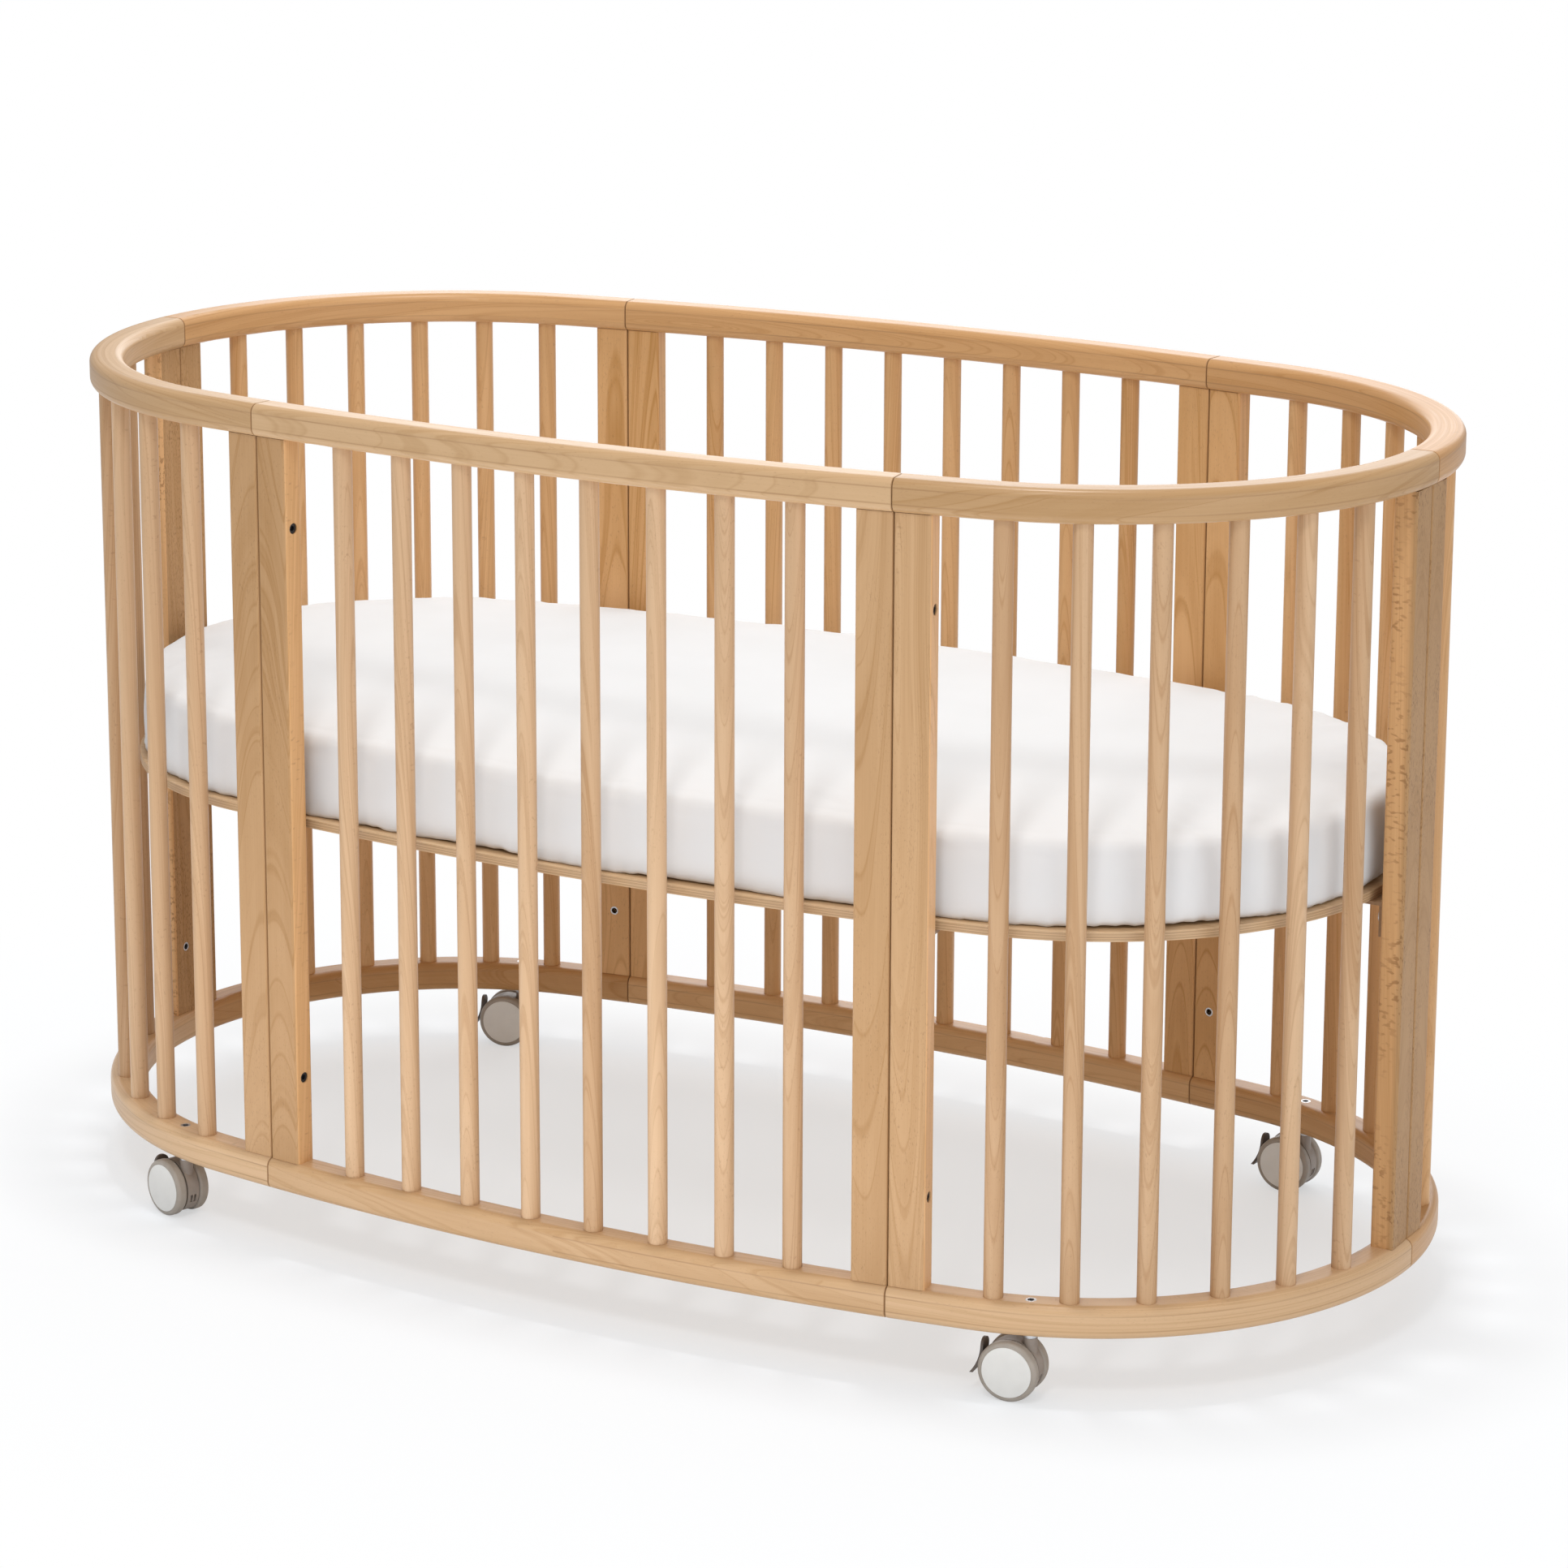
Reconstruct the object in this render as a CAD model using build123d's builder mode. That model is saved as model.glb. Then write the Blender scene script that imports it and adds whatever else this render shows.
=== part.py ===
import os
from math import atan2, cos, pi, radians, sin

from build123d import *

# Oval crib on casters, in millimetres. The floor is z = 0, +X runs along the crib's length
# and -Y is its front. Everything stands on one oval of four arcs, the centreline of the rails.

# Plan of the oval
oval_half_length = 681.5
oval_half_width = 351.0
side_bow = 27.6

# Rails, one above and one below in each panel
caster_height = 62.5
slat_span = 705.0
rail_width = 33.0
rail_height = 30.5
rail_round = 8.0
rail_end_round = 1.2
seam_gap = 0.4

# Slats
slat_diameter = 18.0
slat_pitch = 68.0
seam_to_slat = 96.0
side_slat_count = 8
end_slat_count = 6
slat_socket_depth = 14.0
glue_gap = 0.1

# Stiles, the flat posts at both ends of a panel
stile_width = 35.0
stile_thickness = 22.0
stile_round = 3.0
tenon_width = 20.0
tenon_thickness = 12.0
tenon_length = 14.0

# Bolts that pull two panels together at a seam
panel_bolt_from_rail = 85.0
panel_bolt_diameter = 6.0
panel_bolt_head_diameter = 10.0
panel_bolt_head_height = 5.0
panel_bolt_head_sunk = 1.5
panel_bolt_key = 5.0
panel_bolt_key_depth = 3.0
panel_bolt_grip = 12.0
panel_nut_diameter = 10.0
panel_nut_length = 15.0
bolt_hole_play = 0.2
thread_play = 0.05

# Threaded inserts for the bed base, in rows up the curved panels' stiles
insert_first_row = 71.5
insert_row_pitch = 238.0
insert_rows = 2
insert_diameter = 9.0
insert_length = 15.0
base_bolt_diameter = 6.0
base_bolt_head_diameter = 12.0
base_bolt_head_height = 4.0
base_bolt_key = 4.0
base_bolt_key_depth = 2.5
base_bolt_grip = 12.0

# Bed base of plywood on angle brackets
base_thickness = 8.5
base_to_stile = 11.0
bracket_thickness = 3.0
bracket_width = 28.0
bracket_drop = 16.0
bracket_leg = 46.0
base_screw_diameter = 4.0
base_screw_head_diameter = 8.0
base_screw_head_height = 2.5
base_screw_bite = 6.0
base_screw_tip_room = 0.5
base_screw_from_rim = 8.0
base_screw_spacing = 14.0

# Mattress in its fitted sheet
mattress_thickness = 92.0
mattress_to_base_rim = 3.0
mattress_edge_round = 26.0
mattress_foot_round = 7.0
mattress_side_draw = 1.5
mattress_crown = 6.0
mattress_crown_run = 110.0
rest_gap = 0.3

# Casters: a fixed stem, a swivelling body, two wheels and a brake pedal
wheel_to_rail = 6.5
wheel_width = 11.0
wheel_round = 3.5
caster_trail = 15.7
caster_body_width = 13.0
caster_body_inset = 1.2
caster_body_floor_gap = 7.0
body_window_width = 2.8
body_window_height = 8.0
body_window_depth = 4.0
body_window_drop = 8.0
body_window_rib = 1.2
wheel_side_gap = 0.9
axle_diameter = 6.0
axle_tip_room = 2.0
running_gap = 0.05
cap_to_tread = 4.6
cap_thickness = 2.0
cap_proud = 0.3
stem_pin_diameter = 8.0
stem_pin_length = 21.5
stem_collar_diameter = 13.0
stem_collar_height = 4.0
stem_shank_diameter = 10.0
stem_key = 6.0
stem_key_depth = 6.0
pedal_width = 16.0
pedal_thickness = 2.5
pedal_top_rise = 23.3
pedal_top_reach = 1.6
pedal_waist_rise = 4.7
pedal_waist_reach = 3.5
pedal_tip_drop = 10.2
pedal_tip_reach = 12.1
pedal_top_round = 7.5
pedal_tip_round = 2.5
pedal_pivot_inset = 2.0
pedal_knuckle_radius = 3.0
pedal_pin_diameter = 3.0
pedal_ear_width = 2.5
pedal_lug_width = 5.0
pedal_side_gap = 0.3
pedal_room = 1.0

# Which way each caster has turned: degrees from its axle to the crib's front
right_front_turn = 6.0
right_back_turn = -2.5
left_back_turn = 16.0
left_front_turn = -18.5

# The oval's end arcs fall short of its half width by the bow, and meet its side arcs with a common tangent
oval_end_radius = oval_half_width - side_bow
end_centre = oval_half_length - oval_end_radius
side_radius = (end_centre**2 + oval_half_width**2 - oval_end_radius**2) / (2 * side_bow)
side_centre = side_radius - oval_half_width
side_turn = atan2(end_centre, side_centre)
side_length = side_radius * side_turn
end_length = oval_end_radius * (pi / 2 - side_turn)
quarter = side_length + end_length
perimeter = 4 * quarter
seam = (side_slat_count - 1) * slat_pitch / 2 + seam_to_slat

# Arcs of the oval from the middle of the front, counter-clockwise: length, radius and centre
oval_arcs = [
    (side_length, side_radius, (0, side_centre)),
    (2 * end_length, oval_end_radius, (end_centre, 0)),
    (2 * side_length, side_radius, (0, -side_centre)),
    (2 * end_length, oval_end_radius, (-end_centre, 0)),
    (side_length, side_radius, (0, side_centre)),
]

# Panels between two seams, with their slats
panels = {
    "front": (-seam, seam, side_slat_count),
    "right_front": (seam, quarter, end_slat_count),
    "right_back": (quarter, 2 * quarter - seam, end_slat_count),
    "back": (2 * quarter - seam, 2 * quarter + seam, side_slat_count),
    "left_back": (2 * quarter + seam, 3 * quarter, end_slat_count),
    "left_front": (3 * quarter, 4 * quarter - seam, end_slat_count),
}

# Seams, with the sides on which a curved panel's stile stands: -1 before the seam, 1 after it
seams = {
    "front_right": (seam, (1,)),
    "right": (quarter, (-1, 1)),
    "back_right": (2 * quarter - seam, (-1,)),
    "back_left": (2 * quarter + seam, (1,)),
    "left": (3 * quarter, (-1, 1)),
    "front_left": (4 * quarter - seam, (-1,)),
}

# Heights
low_rail_top = caster_height + rail_height
top_rail_under = low_rail_top + slat_span
panel_bolt_heights = (low_rail_top + panel_bolt_from_rail, top_rail_under - panel_bolt_from_rail)
insert_heights = [low_rail_top + insert_first_row + row * insert_row_pitch for row in range(insert_rows)]
base_bolt_height = insert_heights[-1]
base_under = base_bolt_height + bracket_drop
base_top = base_under + base_thickness

# Insets of the base and the mattress from the rails' centreline
stile_face = stile_thickness / 2
base_inset = stile_face + base_to_stile
mattress_inset = base_inset + mattress_to_base_rim
stile_centre = seam_gap / 2 + stile_width / 2


# Point on the oval and the direction of travel there
def oval_place(arc):
    left = arc % perimeter
    turn = 0.0
    for length, radius, centre in oval_arcs:
        if left <= length:
            break
        left -= length
        turn += length / radius
    turn += left / radius
    return Vector(centre[0] + radius * sin(turn), centre[1] - radius * cos(turn)), turn


# Plane on the oval: x along the rail, y towards the inside, z up
def oval_plane(arc, height):
    point, turn = oval_place(arc)
    return Plane((point.X, point.Y, height), x_dir=(cos(turn), sin(turn), 0), z_dir=(0, 0, 1))


# Plane at a point of another plane, facing along one of that plane's directions
def facing(plane, point, direction):
    return Plane(plane.from_local_coords(point), x_dir=plane.z_dir, z_dir=direction)


# Ends of the arcs that a stretch of the rails is made of
def arc_knots(start, end):
    joints = [2 * quarter * half + side * side_length for half in range(3) for side in (-1, 1)]
    return [start] + [arc for arc in sorted(joints) if start < arc < end] + [end]


# Places of a panel's slats along the oval
def slat_arcs(start, end, count):
    first = start + seam_to_slat
    step = (end - seam_to_slat - first) / (count - 1)
    return [first + step * index for index in range(count)]


# Plane of a caster on the floor under its stem: x is the trail, y the axle
def caster_plane(arc, degrees):
    point, _ = oval_place(arc)
    turn = radians(degrees)
    return Plane((point.X, point.Y, 0), x_dir=(-cos(turn), -sin(turn), 0), z_dir=(0, 0, 1))


# Casters in the curved panels, midway between the two slats nearest a side panel
end_slat_pitch = (quarter - seam - 2 * seam_to_slat) / (end_slat_count - 1)
stem_from_seam = seam_to_slat + end_slat_pitch / 2
casters = {
    "right_front": caster_plane(seam + stem_from_seam, right_front_turn),
    "right_back": caster_plane(2 * quarter - seam - stem_from_seam, right_back_turn),
    "left_back": caster_plane(2 * quarter + seam + stem_from_seam, left_back_turn),
    "left_front": caster_plane(4 * quarter - seam - stem_from_seam, left_front_turn),
}


# Closed outline of the oval, moved in from the rails' centreline
def inset_oval(inset):
    side = side_radius - inset
    end = oval_end_radius - inset
    across = end * cos(side_turn)
    reach = end_centre + end * sin(side_turn)
    with BuildLine() as outline:
        ThreePointArc((-reach, -across), (0, side_centre - side), (reach, -across))
        ThreePointArc((reach, -across), (end_centre + end, 0), (reach, across))
        ThreePointArc((reach, across), (0, side - side_centre), (-reach, across))
        ThreePointArc((-reach, across), (-end_centre - end, 0), (-reach, -across))
    return outline.line


def save(builder, node):
    builder.part.label = node
    export_step(builder.part, f"parts/{node}.step")


os.makedirs("parts", exist_ok=True)

# Rails: a rounded bar bent along the oval, with sockets for its slats and its two stiles
for panel, (start, end, count) in panels.items():
    for level, under in (("bottom", caster_height), ("top", top_rail_under)):
        opens_up = level == "bottom"
        mouth = under + rail_height if opens_up else under
        out = (0, 0, 1) if opens_up else (0, 0, -1)
        first_end = start + seam_gap / 2
        last_end = end - seam_gap / 2
        knots = arc_knots(first_end, last_end)
        head = oval_plane(first_end, under + rail_height / 2)
        with BuildPart() as rail:
            with BuildLine(Plane.XY.offset(under + rail_height / 2)) as run:
                for near, far in zip(knots, knots[1:]):
                    ThreePointArc(oval_place(near)[0], oval_place((near + far) / 2)[0], oval_place(far)[0])
            with BuildSketch(Plane(head.origin, x_dir=(0, 0, 1), z_dir=head.x_dir)):
                RectangleRounded(rail_height, rail_width, rail_round)
            sweep()
            upright = rail.faces().filter_by(GeomType.PLANE).filter_by(Axis.Z, reverse=True)
            fillet(upright.edges(), rail_end_round)
            for arc in slat_arcs(start, end, count):
                socket = oval_plane(arc, mouth)
                with Locations(Plane(socket.origin, x_dir=socket.x_dir, z_dir=out)):
                    Hole(slat_diameter / 2 + glue_gap, depth=slat_socket_depth)
            for arc, side in ((start, 1), (end, -1)):
                mortise = oval_plane(arc, mouth)
                with BuildSketch(Plane(mortise.origin, x_dir=mortise.x_dir, z_dir=out)):
                    with Locations((side * stile_centre, 0)):
                        Rectangle(tenon_width + 2 * glue_gap, tenon_thickness + 2 * glue_gap)
                extrude(amount=-tenon_length, mode=Mode.SUBTRACT)
            if opens_up and panel in casters:
                stem = casters[panel].origin
                with Locations((stem.X, stem.Y, mouth)):
                    Hole(stem_shank_diameter / 2 + glue_gap)
        save(rail, f"{level}_rail_{panel}")

# Slats: round bars glued into both rails
for panel, (start, end, count) in panels.items():
    with BuildPart() as slats:
        with BuildSketch(Plane.XY.offset(low_rail_top - slat_socket_depth)):
            with Locations([oval_place(arc)[0] for arc in slat_arcs(start, end, count)]):
                Circle(slat_diameter / 2)
        extrude(amount=slat_span + 2 * slat_socket_depth)
    save(slats, f"slats_{panel}")

# Stiles: two flat posts side by side at each seam, bored for the bolts and the inserts
for name, (arc, curved_sides) in seams.items():
    foot = oval_plane(arc, low_rail_top)
    with BuildPart() as stiles:
        with BuildSketch(foot):
            with Locations((-stile_centre, 0), (stile_centre, 0)):
                RectangleRounded(stile_width, stile_thickness, stile_round)
        extrude(amount=slat_span)
        with BuildSketch(foot.offset(-tenon_length)):
            with Locations((-stile_centre, 0), (stile_centre, 0)):
                Rectangle(tenon_width, tenon_thickness)
        extrude(amount=slat_span + 2 * tenon_length)
        for height in panel_bolt_heights:
            rise = height - low_rail_top
            with Locations(facing(foot, (stile_centre + stile_width / 2, 0, rise), foot.x_dir)):
                CounterBoreHole(
                    panel_bolt_diameter / 2 + bolt_hole_play,
                    panel_bolt_head_diameter / 2 + bolt_hole_play,
                    panel_bolt_head_height + panel_bolt_head_sunk,
                    depth=stile_width + seam_gap / 2,
                )
            with Locations(facing(foot, (-seam_gap / 2, 0, rise), foot.x_dir)):
                Hole(panel_nut_diameter / 2 + glue_gap, depth=panel_nut_length)
        for side in curved_sides:
            for height in insert_heights:
                mouth = (side * stile_centre, stile_face, height - low_rail_top)
                with Locations(facing(foot, mouth, foot.y_dir)):
                    Hole(insert_diameter / 2 + glue_gap, depth=insert_length)
    save(stiles, f"stiles_{name}")

# Panel bolt: a socket head that seats in one stile, with its thread in the other one's nut
panel_bolt_length = (
    stile_width - panel_bolt_head_height - panel_bolt_head_sunk + seam_gap + panel_bolt_grip
)
with BuildPart() as panel_bolt:
    with BuildSketch():
        Circle(panel_bolt_head_diameter / 2)
    extrude(amount=panel_bolt_head_height)
    with BuildSketch():
        Circle(panel_bolt_diameter / 2)
    extrude(amount=-panel_bolt_length)
    with BuildSketch(Plane.XY.offset(panel_bolt_head_height)):
        RegularPolygon(panel_bolt_key / 2, 6, major_radius=False)
    extrude(amount=-panel_bolt_key_depth, mode=Mode.SUBTRACT)

# Panel nut: a threaded sleeve set into the edge of a stile
with BuildPart() as panel_nut:
    with BuildSketch():
        Circle(panel_nut_diameter / 2)
        Circle(panel_bolt_diameter / 2 + thread_play, mode=Mode.SUBTRACT)
    extrude(amount=-panel_nut_length)

# Insert: a threaded sleeve, open on the stile's inner face
with BuildPart() as insert:
    with BuildSketch():
        Circle(insert_diameter / 2)
        Circle(base_bolt_diameter / 2 + thread_play, mode=Mode.SUBTRACT)
    extrude(amount=-insert_length)

head_seats = []
nut_mouths = []
insert_mouths = []
bracket_seats = []
for arc, curved_sides in seams.values():
    foot = oval_plane(arc, 0)
    for height in panel_bolt_heights:
        head_depth = panel_bolt_head_height + panel_bolt_head_sunk
        head_seats.append(facing(foot, (stile_centre + stile_width / 2 - head_depth, 0, height), foot.x_dir))
        nut_mouths.append(facing(foot, (-seam_gap / 2, 0, height), foot.x_dir))
    for side in curved_sides:
        bracket_seats.append(facing(foot, (side * stile_centre, stile_face, base_bolt_height), foot.y_dir))
        for height in insert_heights:
            insert_mouths.append(facing(foot, (side * stile_centre, stile_face, height), foot.y_dir))

with BuildPart() as panel_bolts:
    with Locations(*head_seats):
        add(panel_bolt.part)
save(panel_bolts, "panel_bolts")

with BuildPart() as panel_nuts:
    with Locations(*nut_mouths):
        add(panel_nut.part)
save(panel_nuts, "panel_nuts")

with BuildPart() as base_inserts:
    with Locations(*insert_mouths):
        add(insert.part)
save(base_inserts, "base_inserts")

# Bracket on its seat: x up, y along the stile's width, z towards the inside of the crib
screw_steps = (base_to_stile + base_screw_from_rim, base_to_stile + base_screw_from_rim + base_screw_spacing)
with BuildPart() as bracket:
    with BuildSketch(Plane.XZ):
        with BuildLine():
            Polyline(
                (-bracket_drop, 0),
                (bracket_drop, 0),
                (bracket_drop, bracket_leg),
                (bracket_drop - bracket_thickness, bracket_leg),
                (bracket_drop - bracket_thickness, bracket_thickness),
                (-bracket_drop, bracket_thickness),
                close=True,
            )
        make_face()
    extrude(amount=bracket_width / 2, both=True)
    with Locations((0, 0, bracket_thickness)):
        Hole(base_bolt_diameter / 2 + bolt_hole_play, depth=bracket_thickness)
    with Locations(*[Plane((bracket_drop, 0, step), z_dir=(1, 0, 0)) for step in screw_steps]):
        Hole(base_screw_diameter / 2 + bolt_hole_play, depth=bracket_thickness)

with BuildPart() as base_brackets:
    with Locations(*bracket_seats):
        add(bracket.part)
save(base_brackets, "base_brackets")

# Fasteners of one bracket: a bolt into the stile's insert and two screws up into the base
with BuildPart() as bracket_fasteners:
    with BuildSketch(Plane.XY.offset(bracket_thickness)):
        Circle(base_bolt_head_diameter / 2)
    extrude(amount=base_bolt_head_height)
    with BuildSketch(Plane.XY.offset(bracket_thickness)):
        Circle(base_bolt_diameter / 2)
    extrude(amount=-bracket_thickness - base_bolt_grip)
    with BuildSketch(Plane.XY.offset(bracket_thickness + base_bolt_head_height)):
        RegularPolygon(base_bolt_key / 2, 6, major_radius=False)
    extrude(amount=-base_bolt_key_depth, mode=Mode.SUBTRACT)
    for step in screw_steps:
        leg_under = Plane((bracket_drop - bracket_thickness, 0, step), z_dir=(1, 0, 0))
        with BuildSketch(leg_under):
            Circle(base_screw_diameter / 2)
        extrude(amount=bracket_thickness + base_screw_bite)
        with BuildSketch(leg_under):
            Circle(base_screw_head_diameter / 2)
        extrude(amount=-base_screw_head_height)

with BuildPart() as base_fasteners:
    with Locations(*bracket_seats):
        add(bracket_fasteners.part)
save(base_fasteners, "base_fasteners")

# Bed base: one plywood board, drilled from below for the bracket screws
with BuildPart() as bed_base:
    with BuildSketch(Plane.XY.offset(base_under)):
        add(inset_oval(base_inset))
        make_face()
    extrude(amount=base_thickness)
    for seat in bracket_seats:
        for step in screw_steps:
            with Locations(facing(seat, (bracket_drop, 0, step), (0, 0, -1))):
                Hole(base_screw_diameter / 2 + glue_gap, depth=base_screw_bite + base_screw_tip_room)
save(bed_base, "bed_base")

# Mattress: drawn in at the foot, upright at the side, rounded at the top edge, with a crown
mattress_under = base_top + rest_gap
foot_steps = 2
edge_steps = 5
crown_steps = 3
mattress_levels = []
for step in range(foot_steps + 1):
    turn = pi / 2 * step / foot_steps
    mattress_levels.append((mattress_foot_round * (1 - cos(turn)), mattress_foot_round * (1 - sin(turn))))
side_top = mattress_thickness - mattress_crown - mattress_edge_round
mattress_levels.append(((mattress_foot_round + side_top) / 2, -mattress_side_draw))
for step in range(edge_steps):
    turn = pi / 2 * step / edge_steps
    rise = side_top + mattress_edge_round * sin(turn)
    mattress_levels.append((rise, mattress_edge_round * (1 - cos(turn))))
for step in range(crown_steps + 1):
    share = step / crown_steps
    rise = mattress_thickness - mattress_crown * (1 - share) ** 2
    mattress_levels.append((rise, mattress_edge_round + mattress_crown_run * share))

with BuildPart() as mattress:
    for rise, draw in mattress_levels:
        with BuildSketch(Plane.XY.offset(mattress_under + rise)):
            add(inset_oval(mattress_inset + draw))
            make_face()
    loft(ruled=True)
save(mattress, "mattress")

# Caster stem: a shank through the rail, a collar under it and a pin that the body turns on
with BuildPart() as caster_stem:
    with BuildSketch(Plane.XY.offset(caster_height)):
        Circle(stem_shank_diameter / 2)
    extrude(amount=rail_height)
    with BuildSketch(Plane.XY.offset(caster_height)):
        Circle(stem_collar_diameter / 2)
    extrude(amount=-stem_collar_height)
    with BuildSketch(Plane.XY.offset(caster_height - stem_collar_height)):
        Circle(stem_pin_diameter / 2)
    extrude(amount=-stem_pin_length)
    with BuildSketch(Plane.XY.offset(low_rail_top)):
        RegularPolygon(stem_key / 2, 6, major_radius=False)
    extrude(amount=-stem_key_depth, mode=Mode.SUBTRACT)

with BuildPart() as caster_stems:
    with Locations(*casters.values()):
        add(caster_stem.part)
save(caster_stems, "caster_stems")

# Caster body: x is the trail, y the axle. It fills the space between the wheels, with a lug
# for the pedal behind and a window of two bays in front
wheel_diameter = caster_height - wheel_to_rail
cap_diameter = wheel_diameter - 2 * cap_to_tread
wheel_radius = wheel_diameter / 2
body_top = caster_height - stem_collar_height - rest_gap
body_front = caster_trail - wheel_radius + caster_body_inset
pivot_x = caster_trail + wheel_radius - pedal_pivot_inset
with BuildPart() as caster_body:
    with BuildSketch(Plane.XZ):
        with Locations((caster_trail, wheel_radius)):
            Circle(wheel_radius - caster_body_inset)
        with Locations((caster_trail, 0)):
            Rectangle(wheel_diameter, 2 * caster_body_floor_gap, mode=Mode.SUBTRACT)
    extrude(amount=caster_body_width / 2, both=True)
    with BuildSketch(Plane.XY.offset(body_top)):
        Circle(caster_body_width / 2)
    extrude(amount=wheel_radius - body_top)
    with BuildSketch(Plane.YZ.offset(body_front + body_window_depth)):
        with Locations((0, wheel_radius - body_window_drop)):
            with GridLocations(body_window_width + body_window_rib, 0, 2, 1):
                Rectangle(body_window_width, body_window_height)
    extrude(amount=-2 * body_window_depth, mode=Mode.SUBTRACT)
    with BuildSketch(Plane.XZ):
        with Locations((pivot_x, wheel_radius)):
            Rectangle(2 * (pedal_knuckle_radius + pedal_room), 4 * pedal_knuckle_radius)
    extrude(amount=caster_body_width / 2, both=True, mode=Mode.SUBTRACT)
    with BuildSketch(Plane.XZ):
        with Locations((pivot_x, wheel_radius)):
            Circle(pedal_knuckle_radius)
        with Locations(((caster_trail + pivot_x) / 2, wheel_radius)):
            Rectangle(pivot_x - caster_trail, 2 * pedal_knuckle_radius)
    extrude(amount=pedal_lug_width / 2, both=True)
    with BuildSketch(Plane.XZ):
        with Locations((pivot_x, wheel_radius)):
            Circle(pedal_pin_diameter / 2)
    extrude(amount=pedal_lug_width / 2 + pedal_side_gap + pedal_ear_width, both=True)
    with Locations((0, 0, body_top)):
        Hole(stem_pin_diameter / 2 + running_gap, depth=stem_pin_length)
    with Locations(Plane((caster_trail, 0, wheel_radius), z_dir=(0, 1, 0))):
        Hole(axle_diameter / 2 + running_gap)

# Axle: a plain pin that ends inside the wheels, under their caps
wheel_inner = caster_body_width / 2 + wheel_side_gap
wheel_outer = wheel_inner + wheel_width
cap_seat = wheel_outer - cap_thickness + cap_proud
with BuildPart() as caster_axle:
    with BuildSketch(Plane((caster_trail, 0, wheel_radius), x_dir=(1, 0, 0), z_dir=(0, 1, 0))):
        Circle(axle_diameter / 2)
    extrude(amount=cap_seat - axle_tip_room, both=True)

# Wheel on its axle: z is 0 at the side next to the body
with BuildPart() as caster_wheel:
    with BuildSketch():
        Circle(wheel_radius)
    extrude(amount=wheel_width)
    fillet(caster_wheel.edges(), wheel_round)
    with Locations((0, 0, wheel_width)):
        CounterBoreHole(
            axle_diameter / 2 + running_gap, cap_diameter / 2 + glue_gap, cap_thickness - cap_proud
        )

# Cap that closes the wheel's outer side
with BuildPart() as wheel_cap:
    with BuildSketch(Plane.XY.offset(wheel_width - cap_thickness + cap_proud)):
        Circle(cap_diameter / 2)
    extrude(amount=cap_thickness)
    fillet(wheel_cap.edges().group_by(Axis.Z)[-1], cap_proud)

# Brake pedal: a tongue that bends outwards at its foot, with two ears on the body's pin
pedal_top = (pivot_x + pedal_top_reach, wheel_radius + pedal_top_rise)
pedal_waist = (pivot_x + pedal_waist_reach, wheel_radius + pedal_waist_rise)
pedal_tip = (pivot_x + pedal_tip_reach, wheel_radius - pedal_tip_drop)
ear_middle = pedal_lug_width / 2 + pedal_side_gap + pedal_ear_width / 2
with BuildPart() as brake_pedal:
    with BuildSketch(Plane.XZ):
        with BuildLine():
            skid = ThreePointArc(pedal_top, pedal_waist, pedal_tip)
            offset(skid, pedal_thickness / 2, side=Side.BOTH)
        make_face()
    extrude(amount=pedal_width / 2, both=True)
    with BuildSketch(Plane.YZ) as tongue:
        with Locations((0, wheel_radius + (pedal_top_rise - pedal_tip_drop) / 2)):
            Rectangle(pedal_width, pedal_top_rise + pedal_tip_drop)
        fillet(tongue.vertices().group_by(Axis.Y)[-1], pedal_top_round)
        fillet(tongue.vertices().group_by(Axis.Y)[0], pedal_tip_round)
    extrude(amount=2 * pivot_x, mode=Mode.INTERSECT)
    for side in (-1, 1):
        with BuildSketch(Plane.XZ.offset(side * ear_middle)):
            with Locations((pivot_x, wheel_radius)):
                Circle(pedal_knuckle_radius)
            with BuildLine():
                Polyline(
                    (pivot_x, wheel_radius + pedal_knuckle_radius),
                    pedal_waist,
                    skid @ 0.75,
                    (pivot_x, wheel_radius - pedal_knuckle_radius),
                    close=True,
                )
            make_face()
        extrude(amount=pedal_ear_width / 2, both=True)
    with Locations(Plane((pivot_x, 0, wheel_radius), z_dir=(0, 1, 0))):
        Hole(pedal_pin_diameter / 2 + running_gap)

for name, place in casters.items():
    with BuildPart() as body:
        with Locations(place):
            add(caster_body.part)
    save(body, f"caster_body_{name}")
    with BuildPart() as axle:
        with Locations(place):
            add(caster_axle.part)
    save(axle, f"caster_axle_{name}")
    with BuildPart() as pedal:
        with Locations(place):
            add(brake_pedal.part)
    save(pedal, f"brake_pedal_{name}")
    for face, side in (("near", 1), ("far", -1)):
        hub = facing(place, (caster_trail, side * wheel_inner, wheel_radius), place.y_dir * side)
        with BuildPart() as wheel:
            with Locations(hub):
                add(caster_wheel.part)
        save(wheel, f"{face}_wheel_{name}")
        with BuildPart() as cap:
            with Locations(hub):
                add(wheel_cap.part)
        save(cap, f"{face}_wheel_cap_{name}")
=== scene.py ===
import math

import bmesh
import bpy
from mathutils import Matrix, Vector, noise


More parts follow.
